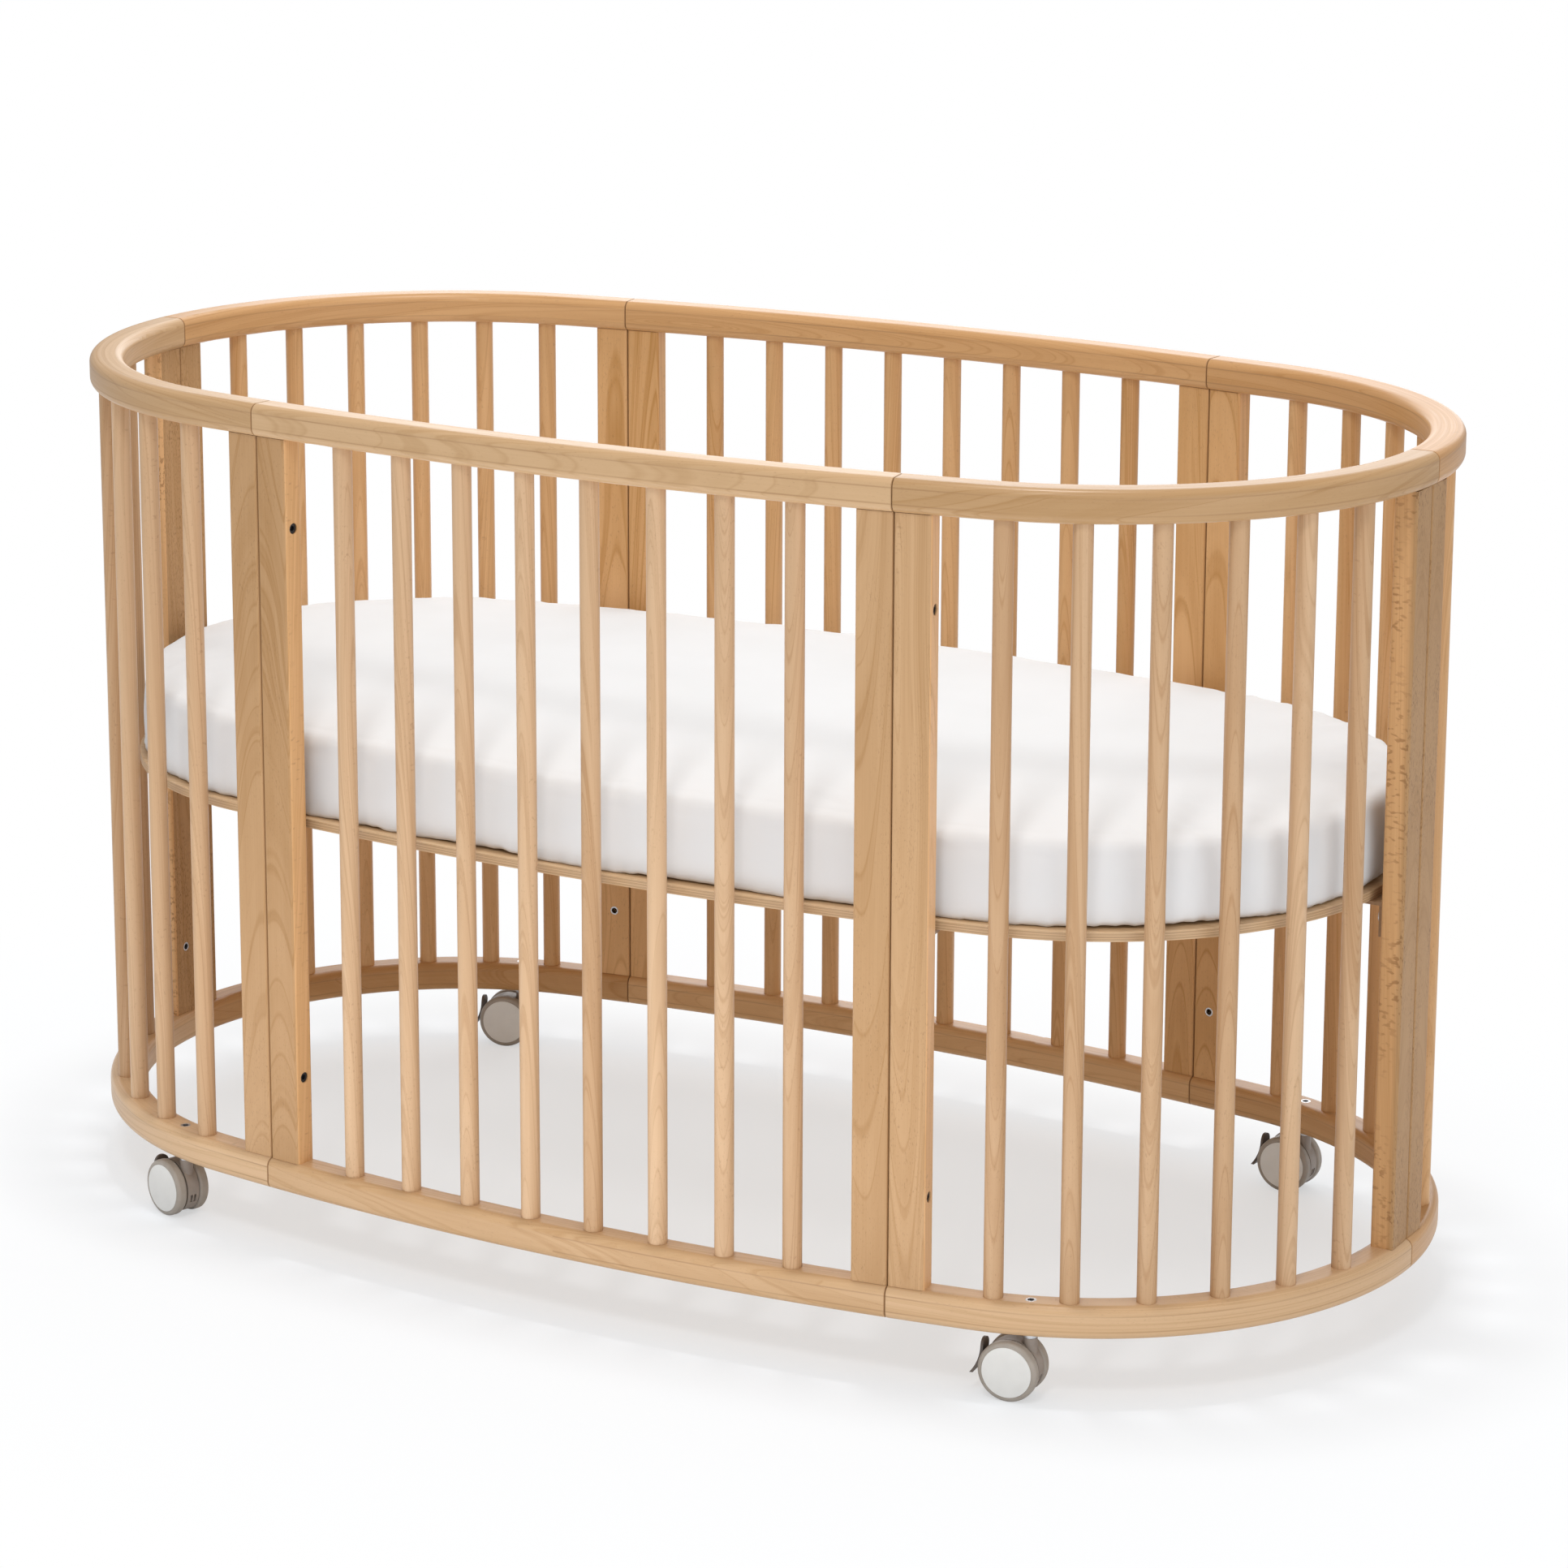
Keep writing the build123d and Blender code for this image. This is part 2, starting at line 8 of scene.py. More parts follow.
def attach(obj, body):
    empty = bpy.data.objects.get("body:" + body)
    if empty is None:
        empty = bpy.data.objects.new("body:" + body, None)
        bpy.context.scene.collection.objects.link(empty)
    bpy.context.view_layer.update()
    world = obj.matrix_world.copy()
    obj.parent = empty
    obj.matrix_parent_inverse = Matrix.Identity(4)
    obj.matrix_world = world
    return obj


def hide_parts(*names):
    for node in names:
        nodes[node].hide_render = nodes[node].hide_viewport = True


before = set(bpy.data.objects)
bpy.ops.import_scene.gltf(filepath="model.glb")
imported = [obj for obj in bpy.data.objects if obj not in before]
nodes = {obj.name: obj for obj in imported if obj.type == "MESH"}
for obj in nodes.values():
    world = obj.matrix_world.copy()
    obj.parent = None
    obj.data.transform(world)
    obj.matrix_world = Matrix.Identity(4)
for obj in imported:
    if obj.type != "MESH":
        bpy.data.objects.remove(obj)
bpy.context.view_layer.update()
print("crib loaded:", len(nodes), "pieces")

# plan of the oval, the same four arcs as the rails follow
oval = {
    "halfLength": 0.6815,
    "halfWidth": 0.351,
    "endRadius": 0.3234,
    "seam": 0.334,  # arc from the middle of a side to its corner seam
    "slatPitch": 0.068,
    "seamToSlat": 0.096,
    "endGaps": 5,  # between the slats of one end panel
}
endCentre = oval["halfLength"] - oval["endRadius"]
sideBulge = oval["halfWidth"] - oval["endRadius"]
sideRadius = (endCentre**2 + oval["halfWidth"]**2 - oval["endRadius"]**2) / (2 * sideBulge)
sideCentre = sideRadius - oval["halfWidth"]
sideTurn = math.atan2(endCentre, sideCentre)
sideLength = sideRadius * sideTurn
quarter = sideLength + oval["endRadius"] * (math.pi / 2 - sideTurn)
endPitch = (quarter - oval["seam"] - 2 * oval["seamToSlat"]) / oval["endGaps"]


def ovalArc(x, y):
    ax = abs(x)
    ay = abs(y)
    turn = math.atan2(ax, ay + sideCentre)
    if turn < sideTurn:
        return turn * sideRadius, sideRadius - math.hypot(ax, ay + sideCentre)
    arc = quarter - math.atan2(ay, ax - endCentre) * oval["endRadius"]
    return arc, oval["endRadius"] - math.hypot(ax - endCentre, ay)


def smoothStep(low, high, value):
    t = min(1.0, max(0.0, (value - low) / (high - low)))
    return t * t * (3 - 2 * t)


# small helpers for node trees
def addNode(tree, kind, inputs=None, **settings):
    node = tree.nodes.new(kind)
    for key, value in settings.items():
        setattr(node, key, value)
    for key, value in (inputs or {}).items():
        feed(tree, node.inputs[key], value)
    return node


def feed(tree, socket, value):
    if isinstance(value, bpy.types.NodeSocket):
        tree.links.new(value, socket)
    else:
        socket.default_value = value


def calc(tree, operation, a, b=0.0, c=0.0):
    return addNode(tree, "ShaderNodeMath", {0: a, 1: b, 2: c}, operation=operation).outputs[0]


def product(tree, first, *others):
    for other in others:
        first = calc(tree, "MULTIPLY", first, other)
    return first


def apart(tree, a, b):
    return calc(tree, "ABSOLUTE", calc(tree, "SUBTRACT", a, b))


def vector(tree, x=0.0, y=0.0, z=0.0):
    return addNode(tree, "ShaderNodeCombineXYZ", {0: x, 1: y, 2: z}).outputs[0]


def lengthOf(tree, x, y):
    node = addNode(tree, "ShaderNodeVectorMath", {0: vector(tree, x, y)}, operation="LENGTH")
    return node.outputs["Value"]


def mixValue(tree, factor, a, b):
    return addNode(tree, "ShaderNodeMix", {0: factor, 2: a, 3: b}).outputs[0]


def mixColour(tree, factor, a, b, blend="MIX"):
    node = addNode(tree, "ShaderNodeMix", data_type="RGBA", blend_type=blend)
    feed(tree, node.inputs[0], factor)
    feed(tree, node.inputs[6], a)
    feed(tree, node.inputs[7], b)
    return node.outputs[2]


def ranged(tree, value, low, high, toLow=0.0, toHigh=1.0):
    node = addNode(tree, "ShaderNodeMapRange", {0: value, 1: low, 2: high, 3: toLow, 4: toHigh})
    return node.outputs[0]


# most of a noise lies between these two values
def spread(tree, value, toLow=0.0, toHigh=1.0):
    return ranged(tree, value, 0.3, 0.7, toLow, toHigh)


def noiseAt(tree, place, scale=1.0, detail=2.0, roughness=0.5):
    inputs = {"Vector": place, "Scale": scale, "Detail": detail, "Roughness": roughness}
    return addNode(tree, "ShaderNodeTexNoise", inputs).outputs["Fac"]


def newGroup(name, inputs, outputs):
    tree = bpy.data.node_groups.new(name, "ShaderNodeTree")
    for label, kind in inputs:
        tree.interface.new_socket(name=label, in_out="INPUT", socket_type="NodeSocket" + kind)
    for label, kind in outputs:
        tree.interface.new_socket(name=label, in_out="OUTPUT", socket_type="NodeSocket" + kind)
    return tree, tree.nodes.new("NodeGroupInput").outputs, tree.nodes.new("NodeGroupOutput").inputs


def useGroup(tree, group, inputs):
    node = tree.nodes.new("ShaderNodeGroup")
    node.node_tree = group
    for key, value in inputs.items():
        feed(tree, node.inputs[key], value)
    return node.outputs


# arc along the oval, distance outwards and height of a point
def makeOvalPlace():
    results = [(name, "Float") for name in ("Along", "Across", "Up", "Side")]
    tree, given, out = newGroup("ovalPlace", [("Vector", "Vector")], results)
    parts = addNode(tree, "ShaderNodeSeparateXYZ", {0: given["Vector"]}).outputs
    ax = calc(tree, "ABSOLUTE", parts[0])
    ay = calc(tree, "ABSOLUTE", parts[1])
    isRight = calc(tree, "GREATER_THAN", parts[0], 0.0)
    sign = calc(tree, "MULTIPLY_ADD", isRight, 2.0, -1.0)
    deep = calc(tree, "ADD", ay, sideCentre)
    sideReach = lengthOf(tree, ax, deep)
    sideArc = calc(tree, "MULTIPLY", calc(tree, "ARCTAN2", ax, deep), sideRadius)
    ex = calc(tree, "SUBTRACT", ax, endCentre)
    endReach = lengthOf(tree, ex, ay)
    endAngle = calc(tree, "ARCTAN2", ay, ex)
    endArc = calc(tree, "SUBTRACT", quarter, calc(tree, "MULTIPLY", endAngle, oval["endRadius"]))
    onEnd = calc(tree, "GREATER_THAN", sideArc, sideLength)
    arc = mixValue(tree, onEnd, sideArc, endArc)
    sideOut = calc(tree, "SUBTRACT", sideReach, sideRadius)
    endOut = calc(tree, "SUBTRACT", endReach, oval["endRadius"])
    feed(tree, out["Along"], calc(tree, "MULTIPLY", arc, sign))
    feed(tree, out["Across"], mixValue(tree, onEnd, sideOut, endOut))
    feed(tree, out["Up"], parts[2])
    feed(tree, out["Side"], sign)
    return tree


skinResults = [("Color", "Color"), ("Roughness", "Float"), ("Height", "Float")]

# beech figure: lengths in metres, scales per metre, tones as shares of the deep colour
grainLook = {
    "seedSteps": (0.0, 31.7, 67.9),
    "seedShift": 40.0,
    "wander": {"alongScale": 3.2, "acrossScale": 10.0, "detail": 1.5},
    "wanderWide": 0.014,
    "wanderDeep": 0.012,
    "leanWide": 0.035,
    "leanDeep": 0.045,
    "leanLeast": 0.02,
    "pithWide": 0.045,
    "pithDeep": (0.012, 0.080),
    "ringScale": 270.0,
    "ringDrift": 0.9,
    "ringNoise": {"detail": 2.5, "roughness": 0.55},
    "ringBand": (0.40, 0.66),
    "ringLine": 0.028,
    "heartEdge": (0.01, 0.11),
    "heartFade": (-0.0006, 0.0010),
    "fine": {"alongScale": 9.0, "acrossScale": 620.0, "detail": 3.0, "roughness": 0.6},
    "broad": {"alongScale": 2.2, "acrossScale": 70.0, "detail": 2.0},
    "patch": {"alongScale": 11.0, "acrossScale": 45.0, "detail": 1.0},
    "patchSpan": (0.33, 0.62),
    "fleckScales": (115.0, 900.0, 270.0),  # away from the pith, round it and along it
    "fleckMost": 1.4,
    "fleckStart": (0.655, 0.555),  # noise where flecks begin, from none to most
    "fleckEdge": 0.10,
    "fleckMix": 0.8,
    "fleckColour": (0.25, 0.130, 0.055, 1.0),
    "boardTone": 0.36,
    "broadTone": 0.16,
    "fineTone": 0.14,
    "heartTone": 0.26,
    "bandTone": 0.24,
    "lineTone": 0.34,
    "toneMost": 1.5,
    "roughness": (0.30, 0.40),
    "fineRelief": 0.5,
    "lineRelief": -0.3,
    "fleckRelief": -0.8,
}


# solid beech: uneven year rings round a leaning pith, fibre streaks and ray flecks
def makeBeechGrain():
    look = grainLook
    names = ["Grain", "Width", "Depth", "Seed", "Fleck", "Figure", "Rift"]
    inputs = [(name, "Float") for name in names] + [("Light", "Color"), ("Deep", "Color")]
    tree, given, out = newGroup("beechGrain", inputs, skinResults)
    grain = given["Grain"]
    width = given["Width"]
    depth = given["Depth"]

    def stretched(alongScale, acrossScale, detail, roughness=0.5):
        place = vector(
            tree,
            calc(tree, "MULTIPLY_ADD", grain, alongScale, shift),
            calc(tree, "MULTIPLY", width, acrossScale),
            calc(tree, "MULTIPLY", depth, acrossScale),
        )
        return noiseAt(tree, place, detail=detail, roughness=roughness)

    def chances(step):
        seed = calc(tree, "ADD", given["Seed"], step)
        roll = addNode(tree, "ShaderNodeTexWhiteNoise", {"W": seed}, noise_dimensions="1D")
        return addNode(tree, "ShaderNodeSeparateColor", {0: roll.outputs["Color"]}).outputs

    def between(chance, low, high):
        return ranged(tree, chance, 0.0, 1.0, low, high)

    rollA, rollB, rollC = [chances(step) for step in look["seedSteps"]]
    shift = calc(tree, "MULTIPLY", rollA[0], look["seedShift"])
    # the pith lies beside the board and leans, which draws arches on flat faces
    wander = calc(tree, "SUBTRACT", stretched(**look["wander"]), 0.5)
    leanU = between(rollA[1], -look["leanWide"], look["leanWide"])
    leanV = between(rollA[2], -look["leanDeep"], look["leanDeep"])
    leanV = calc(tree, "MULTIPLY_ADD", calc(tree, "SIGN", leanV), look["leanLeast"], leanV)
    pithU = calc(tree, "MULTIPLY", between(rollB[0], -look["pithWide"], look["pithWide"]), given["Rift"])
    pithV = between(rollB[1], *look["pithDeep"])
    u = calc(tree, "ADD", calc(tree, "MULTIPLY_ADD", grain, leanU, width), pithU)
    u = calc(tree, "MULTIPLY_ADD", wander, look["wanderWide"], u)
    v = calc(tree, "ADD", calc(tree, "MULTIPLY_ADD", grain, leanV, depth), pithV)
    v = calc(tree, "MULTIPLY_ADD", wander, look["wanderDeep"], v)
    reach = lengthOf(tree, u, v)
    turn = calc(tree, "ARCTAN2", u, v)
    # year rings, each a soft band and a thin line
    ringAway = calc(tree, "MULTIPLY_ADD", reach, look["ringScale"], shift)
    ringPlace = vector(tree, ringAway, calc(tree, "MULTIPLY", grain, look["ringDrift"]))
    ringNoise = noiseAt(tree, ringPlace, **look["ringNoise"])
    band = ranged(tree, ringNoise, *look["ringBand"])
    ringLine = ranged(tree, apart(tree, ringNoise, 0.5), 0.0, look["ringLine"], 1.0, 0.0)
    # darker heart on one side of a wavering edge
    heartEdge = between(rollC[0], *look["heartEdge"])
    heart = ranged(tree, calc(tree, "SUBTRACT", reach, heartEdge), *look["heartFade"])
    fine = stretched(**look["fine"])
    broad = stretched(**look["broad"])
    # ray flecks: dashes on flat-sawn faces, cross patches on quarter-sawn ones
    awayScale, roundScale, alongScale = look["fleckScales"]
    fleckPlace = vector(
        tree,
        calc(tree, "MULTIPLY", reach, awayScale),
        product(tree, turn, reach, roundScale),
        calc(tree, "MULTIPLY_ADD", grain, alongScale, shift),
    )
    fleckNoise = noiseAt(tree, fleckPlace, detail=1.0)
    patch = ranged(tree, stretched(**look["patch"]), *look["patchSpan"])
    fleckStart = ranged(tree, given["Fleck"], 0.0, look["fleckMost"], *look["fleckStart"])
    fleck = ranged(tree, fleckNoise, fleckStart, calc(tree, "ADD", fleckStart, look["fleckEdge"]))
    fleck = product(tree, fleck, patch, calc(tree, "MINIMUM", given["Fleck"], 1.0))
    # colour: board tone and streaks, then heart and rings, then flecks
    tone = calc(tree, "MULTIPLY", rollB[2], look["boardTone"])
    tone = calc(tree, "MULTIPLY_ADD", spread(tree, broad), look["broadTone"], tone)
    tone = calc(tree, "MULTIPLY_ADD", spread(tree, fine), look["fineTone"], tone)
    figure = calc(tree, "MULTIPLY", heart, look["heartTone"])
    figure = calc(tree, "MULTIPLY_ADD", band, look["bandTone"], figure)
    figure = calc(tree, "MULTIPLY_ADD", ringLine, look["lineTone"], figure)
    tone = calc(tree, "MULTIPLY_ADD", figure, given["Figure"], tone)
    tone = calc(tree, "MINIMUM", tone, look["toneMost"])
    wood = mixColour(tree, tone, given["Light"], given["Deep"])
    wood.node.clamp_factor = False
    wood = mixColour(tree, calc(tree, "MULTIPLY", fleck, look["fleckMix"]), wood, look["fleckColour"])
    feed(tree, out["Color"], wood)
    feed(tree, out["Roughness"], spread(tree, fine, *look["roughness"]))
    height = calc(tree, "MULTIPLY", ringLine, look["lineRelief"])
    height = calc(tree, "MULTIPLY_ADD", fine, look["fineRelief"], height)
    feed(tree, out["Height"], calc(tree, "MULTIPLY_ADD", fleck, look["fleckRelief"], height))
    return tree


mouldedLook = {
    "gritScale": 1900.0,
    "mottleScale": 70.0,
    "mottleSpan": (0.35, 0.7),
    "roughness": (0.34, 0.46),
    "bumpDepth": 0.0003,
}


# soft mottle and fine grain of a moulded surface
def makeMoulded():
    inputs = [("Vector", "Vector"), ("Base", "Color"), ("Deep", "Color")]
    tree, given, out = newGroup("mouldedSkin", inputs, skinResults)
    grit = noiseAt(tree, given["Vector"], mouldedLook["gritScale"])
    mottle = noiseAt(tree, given["Vector"], mouldedLook["mottleScale"], 3.0)
    tint = ranged(tree, mottle, *mouldedLook["mottleSpan"])
    feed(tree, out["Color"], mixColour(tree, tint, given["Base"], given["Deep"]))
    feed(tree, out["Roughness"], spread(tree, mottle, *mouldedLook["roughness"]))
    feed(tree, out["Height"], grit)
    return tree


ovalPlace = makeOvalPlace()
beechGrain = makeBeechGrain()
mouldedSkin = makeMoulded()
print("shared grain groups ready")


def startMaterial(name):
    material = bpy.data.materials.new(name)
    material.use_nodes = True
    tree = material.node_tree
    shader = tree.nodes["Principled BSDF"]
    place = tree.nodes.new("ShaderNodeTexCoord").outputs["Object"]
    return material, tree, shader, place


def addBump(tree, shader, height, strength, distance):
    bump = addNode(tree, "ShaderNodeBump", {"Height": height, "Strength": strength, "Distance": distance})
    tree.links.new(bump.outputs["Normal"], shader.inputs["Normal"])


def dress(name, material):
    mesh = nodes[name].data
    mesh.materials.clear()
    mesh.materials.append(material)


beech = {
    "tones": {
        "stile": ((0.62, 0.392, 0.212, 1.0), (0.44, 0.248, 0.108, 1.0)),
        "slat": ((0.69, 0.468, 0.285, 1.0), (0.50, 0.30, 0.156, 1.0)),
        "top": ((0.63, 0.415, 0.23, 1.0), (0.45, 0.262, 0.115, 1.0)),
        # the bottom rails get a lighter tone than the top ones: painted light, standing in for light
        # bounced up from the floor
        "bottom": ((0.73, 0.50, 0.30, 1.0), (0.54, 0.33, 0.165, 1.0)),
    },
    # the far panels get lighter, more orange tones: painted warm bounce light on their shaded inner faces
    "backBounceTones": {
        "stile": ((0.78, 0.465, 0.225, 1.0), (0.55, 0.29, 0.108, 1.0)),
        "slat": ((0.74, 0.45, 0.225, 1.0), (0.53, 0.28, 0.108, 1.0)),
        "top": ((0.69, 0.402, 0.188, 1.0), (0.48, 0.245, 0.089, 1.0)),
        "bottom": ((0.68, 0.41, 0.20, 1.0), (0.48, 0.25, 0.095, 1.0)),
    },
    # the right end's stiles get darker tones: painted shade on the outer faces that turn away from the
    # light
    "rightEndShadeTones": ((0.49, 0.295, 0.145, 1.0), (0.35, 0.19, 0.078, 1.0)),
    "edgeLine": (0.34, 0.185, 0.080, 1.0),
    "lineHalf": (0.0003, 0.0009),
    "lineScale": 5.0,
    "lineSpan": (0.35, 0.62),
    "lineMix": 0.6,
    "jointHalf": (0.0006, 0.0013),
    "jointShade": 0.75,
    "stileWidth": 0.0352,
    "litEdgeInsets": (0.0012, 0.0006),
    "bump": 0.10,
    "bumpDepth": 0.0006,
    "wholeNode": 10.0,  # cell longer than any rail
    "stileCell": 0.5,
    "cellSeed": 1.37,
    "seeds": {"top": (3.1, 7.7), "bottom": (5.9, 9.3), "slats": (11.3, 5.1), "stiles": (23.9, 6.3)},
    "boards": {
        "rail": {"fleck": 0.25, "figure": 0.9, "rift": 0.8, "specular": 0.30},
        "stile": {"fleck": 0.50, "figure": 1.0, "rift": 0.35, "specular": 0.22, "edgeLitGain": 1.45},
        "endStile": {"fleck": 1.50, "figure": 0.8, "rift": 0.4, "specular": 0.08, "edgeLitGain": 1.45},
        "backStile": {"fleck": 0.40, "figure": 1.4, "rift": 0.2, "specular": 0.22, "edgeLitGain": 1.05},
        "slat": {"fleck": 0.35, "figure": 1.1, "rift": 0.4, "specular": 0.25},
    },
    "railHeight": 0.0305,
    "railRound": 0.008,
    "railUnder": {"top": 0.7980, "bottom": 0.0625},
}


# one board or a row of boards; cells tell the boards of a node apart
def beechMaterial(name, seed, kind, tones, cellStart=0.0, cellPitch=beech["wholeNode"], under=None):
    board = beech["boards"][kind]
    upright = kind != "rail"
    material, tree, shader, place = startMaterial(name)
    spot = useGroup(tree, ovalPlace, {"Vector": place})
    alongSize = calc(tree, "ABSOLUTE", spot["Along"])
    toCorner = apart(tree, alongSize, oval["seam"])
    fromSeam = calc(tree, "MINIMUM", toCorner, calc(tree, "SUBTRACT", quarter, alongSize))
    fromStart = calc(tree, "SUBTRACT", alongSize, cellStart)
    cell = calc(tree, "ADD", calc(tree, "FLOOR", calc(tree, "DIVIDE", fromStart, cellPitch)), 0.5)
    # place across the board, from its middle
    if kind == "rail":
        face = calc(tree, "SUBTRACT", spot["Up"], under + beech["railHeight"] / 2)
    elif kind == "slat":
        face = calc(tree, "MULTIPLY_ADD", cell, -cellPitch, fromStart)
    else:
        face = calc(tree, "SUBTRACT", fromSeam, beech["stileWidth"] / 2)
    if cellPitch < beech["wholeNode"]:
        cell = calc(tree, "MULTIPLY", cell, spot["Side"])
    seedValue = calc(tree, "MULTIPLY_ADD", cell, beech["cellSeed"], seed)
    run = spot["Up"] if upright else spot["Along"]
    wood = useGroup(
        tree,
        beechGrain,
        {
            "Grain": run,
            "Width": face,
            "Depth": spot["Across"],
            "Seed": seedValue,
            "Fleck": board["fleck"],
            "Figure": board["figure"],
            "Rift": board["rift"],
            "Light": tones[0],
            "Deep": tones[1],
        },
    )
    colour = wood["Color"]
    if under is not None:
        # thin dark lines where the rail's rounding starts: partly the step the cutter leaves, partly
        # painted shade where the face turns into the rounding
        flatHalf = beech["railHeight"] / 2 - beech["railRound"]
        offLine = apart(tree, calc(tree, "ABSOLUTE", face), flatHalf)
        line = ranged(tree, offLine, *beech["lineHalf"], 1.0, 0.0)
        lineBreaks = noiseAt(tree, vector(tree, spot["Along"], spot["Side"], seed), beech["lineScale"])
        line = product(tree, line, ranged(tree, lineBreaks, *beech["lineSpan"]), beech["lineMix"])
        colour = mixColour(tree, line, colour, beech["edgeLine"])
    if kind != "slat":
        # painted shade: the joint between two panels is darkened, as shade falls into the open gap
        joint = ranged(tree, fromSeam, *beech["jointHalf"], beech["jointShade"], 0.0)
        colour = mixColour(tree, joint, colour, beech["edgeLine"])
    if upright and kind != "slat":
        # painted light: a stile's narrow outer edge is made lighter, as light falling on the side edges
        # would make it
        litStart, litEnd = [beech["stileWidth"] - inset for inset in beech["litEdgeInsets"]]
        litGain = ranged(tree, fromSeam, litStart, litEnd, 1.0, board["edgeLitGain"])
        colour = mixColour(tree, 1.0, colour, vector(tree, litGain, litGain, litGain), "MULTIPLY")
    tree.links.new(colour, shader.inputs["Base Color"])
    tree.links.new(wood["Roughness"], shader.inputs["Roughness"])
    shader.inputs["Specular IOR Level"].default_value = board["specular"]
    addBump(tree, shader, wood["Height"], beech["bump"], beech["bumpDepth"])
    return material


def boardSeed(kind, number):
    first, step = beech["seeds"][kind]
    return first + step * number


panelNames = ["front", "right_front", "right_back", "back", "left_back", "left_front"]
seamNames = ["front_right", "right", "back_right", "back_left", "left", "front_left"]
for number, panel in enumerate(panelNames):
    # the far panels take the tones with painted warm bounce light
    tones = beech["backBounceTones"] if "back" in panel else beech["tones"]
    for level, under in beech["railUnder"].items():
        seed = boardSeed(level, number)
        wood = beechMaterial("beechRail_" + level + "_" + panel, seed, "rail", tones[level], under=under)
        dress(level + "_rail_" + panel, wood)
    onSide = panel in ("front", "back")
    cellStart = 0.0 if onSide else oval["seam"] + oval["seamToSlat"] - endPitch / 2
    cellPitch = oval["slatPitch"] if onSide else endPitch
    seed = boardSeed("slats", number)
    wood = beechMaterial("beechSlats_" + panel, seed, "slat", tones["slat"], cellStart, cellPitch)
    dress("slats_" + panel, wood)
for number, seamName in enumerate(seamNames):
    tones = beech["backBounceTones"] if "back" in seamName else beech["tones"]
    atEnd = seamName in ("left", "right")
    cellStart = 0.0 if atEnd else oval["seam"]
    seed = boardSeed("stiles", number)
    # painted shade: darker tones for the right end's stiles
    pair = beech["rightEndShadeTones"] if seamName == "right" else tones["stile"]
    kind = "endStile" if atEnd else "backStile" if "back" in seamName else "stile"
    wood = beechMaterial("beechStiles_" + seamName, seed, kind, pair, cellStart, beech["stileCell"])
    dress("stiles_" + seamName, wood)
print("beech rails, stiles and slats dressed")

plywood = {
    "under": 0.4185,
    "thickness": 0.0085,
    "plies": 7,
    "long": (0.68, 0.48, 0.285, 1.0),
    "longDeep": (0.56, 0.36, 0.19, 1.0),
    "cross": (0.46, 0.285, 0.15, 1.0),
    "crossPale": (0.58, 0.385, 0.215, 1.0),
    "glue": (0.20, 0.105, 0.045, 1.0),
    "glueHalf": 0.42,
    "glueMix": 0.6,
    "waverScale": 16.0,
    "waver": 0.4,
    "rimAcross": -0.0222,
    "rimGrain": (7.0, 1500.0),
    "faceGrain": (4.0, 240.0),
    "longSpan": (0.3, 0.75),
    "roughness": (0.42, 0.56),
    "bump": 0.12,
    "bumpDepth": 0.0006,
}


def plywoodMaterial():
    material, tree, shader, place = startMaterial("plywoodBase")
    spot = useGroup(tree, ovalPlace, {"Vector": place})
    parts = addNode(tree, "ShaderNodeSeparateXYZ", {0: place}).outputs
    rimPoint = vector(tree, spot["Along"], spot["Side"])
    waver = calc(tree, "SUBTRACT", noiseAt(tree, rimPoint, plywood["waverScale"]), 0.5)
    waver = calc(tree, "MULTIPLY", waver, plywood["waver"])
    level = calc(tree, "SUBTRACT", spot["Up"], plywood["under"])
    level = calc(tree, "DIVIDE", level, plywood["thickness"])
    level = calc(tree, "MULTIPLY_ADD", level, plywood["plies"], waver)
    # the plies and their glue show at the rim, the faces are one veneer
    onRim = calc(tree, "GREATER_THAN", spot["Across"], plywood["rimAcross"])
    isCross = calc(tree, "MODULO", calc(tree, "FLOOR", calc(tree, "MAXIMUM", level, 0.0)), 2.0)
    isCross = calc(tree, "MULTIPLY", isCross, onRim)
    fromMiddle = apart(tree, calc(tree, "FRACT", level), 0.5)
    glueLine = calc(tree, "GREATER_THAN", fromMiddle, plywood["glueHalf"])
    aboveFirst = calc(tree, "GREATER_THAN", level, 0.5)
    belowLast = calc(tree, "LESS_THAN", level, plywood["plies"] - 0.5)
    glueLine = product(tree, glueLine, aboveFirst, belowLast, onRim, plywood["glueMix"])
    rimLong, rimUp = plywood["rimGrain"]
    rimPlace = vector(
        tree,
        calc(tree, "MULTIPLY", spot["Along"], rimLong),
        calc(tree, "MULTIPLY", spot["Up"], rimUp),
        spot["Side"],
    )
    faceLong, faceWide = plywood["faceGrain"]
    faceAlong = calc(tree, "MULTIPLY", parts[0], faceLong)
    facePlace = vector(tree, faceAlong, calc(tree, "MULTIPLY", parts[1], faceWide))
    streak = mixValue(tree, onRim, noiseAt(tree, facePlace, detail=3.0), noiseAt(tree, rimPlace))
    longMix = ranged(tree, streak, *plywood["longSpan"])
    longWood = mixColour(tree, longMix, plywood["long"], plywood["longDeep"])
    crossWood = mixColour(tree, spread(tree, streak), plywood["cross"], plywood["crossPale"])
    wood = mixColour(tree, isCross, longWood, crossWood)
    wood = mixColour(tree, glueLine, wood, plywood["glue"])
    tree.links.new(wood, shader.inputs["Base Color"])
    tree.links.new(spread(tree, streak, *plywood["roughness"]), shader.inputs["Roughness"])
    addBump(tree, shader, streak, plywood["bump"], plywood["bumpDepth"])
    return material


dress("bed_base", plywoodMaterial())


def mouldedMaterial(name, base, deep, bump, specular):
    material, tree, shader, place = startMaterial(name)
    skin = useGroup(tree, mouldedSkin, {"Vector": place, "Base": base, "Deep": deep})
    tree.links.new(skin["Color"], shader.inputs["Base Color"])
    tree.links.new(skin["Roughness"], shader.inputs["Roughness"])
    shader.inputs["Specular IOR Level"].default_value = specular
    addBump(tree, shader, skin["Height"], bump, mouldedLook["bumpDepth"])
    return material


